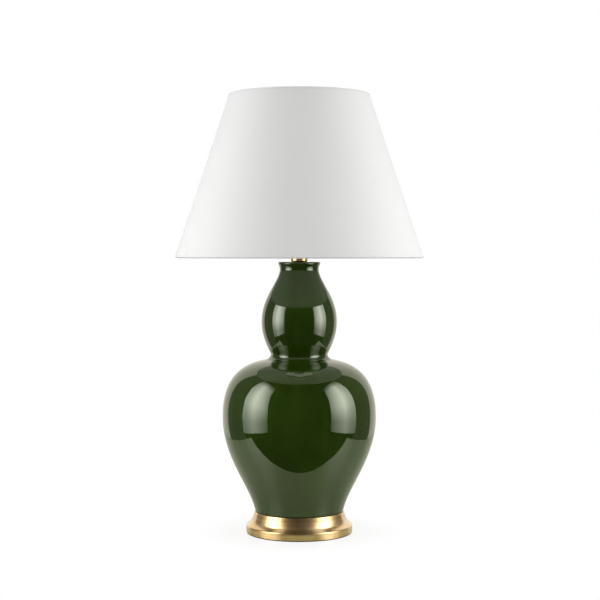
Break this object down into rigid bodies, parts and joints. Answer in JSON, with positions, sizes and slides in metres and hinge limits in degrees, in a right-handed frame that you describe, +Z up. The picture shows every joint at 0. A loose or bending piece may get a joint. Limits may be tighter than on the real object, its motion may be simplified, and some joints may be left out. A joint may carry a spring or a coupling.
{
  "type": "table lamp",
  "caption": "Table lamp: glazed double gourd ceramic jar on a spun brass plinth, with harp, lampholder, turn-knob switch, bulb and tapered cloth shade.",
  "frame": {"origin": "on the surface the lamp stands on, on the lamp's axis", "axes": "+Z up along the lamp's axis; -Y towards the viewer, where the switch knob points; the supply inlet faces +Y; the harp lies in the XZ plane"},
  "size_m": [0.4088, 0.4088, 0.7223],
  "materials": {
    "green_felt": "short wool felt",
    "aged_brass": "polished brass, toned darker with age, clear lacquer",
    "bright_brass": "plain polished brass plate",
    "black_rubber": "soft black rubber",
    "cast_iron": "rough sand-cast iron",
    "zinc_steel": "zinc-plated steel",
    "white_nylon": "white moulded nylon",
    "green_glaze": "deep green glossy glaze on white stoneware",
    "fibre_board": "pressed fibre sleeve",
    "black_bakelite": "black moulded phenolic",
    "cap_aluminium": "bright drawn aluminium",
    "solder_metal": "tinned contact",
    "black_glass": "black vitrite insulator",
    "frosted_glass": "inside-frosted white lamp glass",
    "shade_cloth": "fine smooth white linen-look cloth",
    "shade_lining": "white styrene backing"
  },
  "bodies": {
    "stand": {"felt_pad": "green_felt", "brass_plinth": "aged_brass", "inlet_grommet": "black_rubber", "base_weight": "cast_iron", "clamp_washer": "zinc_steel", "lock_washer": "zinc_steel", "rod_nut": "bright_brass", "threaded_rod": "zinc_steel", "rod_bush_lower": "white_nylon", "rod_bush_upper": "white_nylon", "foot_pad": "black_rubber", "gourd_jar": "green_glaze", "collar_pad": "black_rubber", "neck_collar": "aged_brass", "harp_saddle": "bright_brass", "harp_wire": "bright_brass", "harp_stud": "bright_brass", "socket_cap": "bright_brass", "set_screw": "zinc_steel", "socket_shell": "bright_brass", "insulating_sleeve": "fibre_board", "switch_block": "black_bakelite", "terminal_screws": "bright_brass", "screw_contact": "cap_aluminium", "centre_tongue": "bright_brass"},
    "switch": {"switch_stem": "bright_brass", "switch_knob": "black_bakelite"},
    "left_ferrule": {"ferrule_left": "bright_brass"},
    "right_ferrule": {"ferrule_right": "bright_brass"},
    "bulb": {"bulb_tip": "solder_metal", "bulb_insulator": "black_glass", "bulb_cap": "cap_aluminium", "bulb_glass": "frosted_glass"},
    "shade": {"shade_fabric": "shade_cloth", "shade_liner": "shade_lining", "top_ring": "zinc_steel", "bottom_ring": "zinc_steel", "top_hem": "shade_cloth", "bottom_hem": "shade_cloth", "spider_hub": "bright_brass", "spider_arms": "bright_brass"},
    "finial": {"finial": "aged_brass"}
  },
  "joints": [
    {"name": "switch_turn", "type": "hinge", "parent": "stand", "child": "switch", "pos_m": [0, -0.03, 0.4854], "axis": [0, -1, 0], "continuous": true},
    {"name": "left_ferrule_lift", "type": "slide", "parent": "stand", "child": "left_ferrule", "axis": [0, 0, 1], "range_m": [0, 0.011]},
    {"name": "right_ferrule_lift", "type": "slide", "parent": "stand", "child": "right_ferrule", "axis": [0, 0, 1], "range_m": [0, 0.011]},
    {"name": "bulb_turn", "type": "hinge", "parent": "stand", "child": "bulb", "pos_m": [0, 0, 0.555], "axis": [0, 0, 1], "continuous": true},
    {"name": "shade_turn", "type": "hinge", "parent": "stand", "child": "shade", "pos_m": [0, 0, 0.6973], "axis": [0, 0, 1], "continuous": true},
    {"name": "finial_turn", "type": "hinge", "parent": "stand", "child": "finial", "pos_m": [0, 0, 0.71], "axis": [0, 0, 1], "continuous": true}
  ]
}
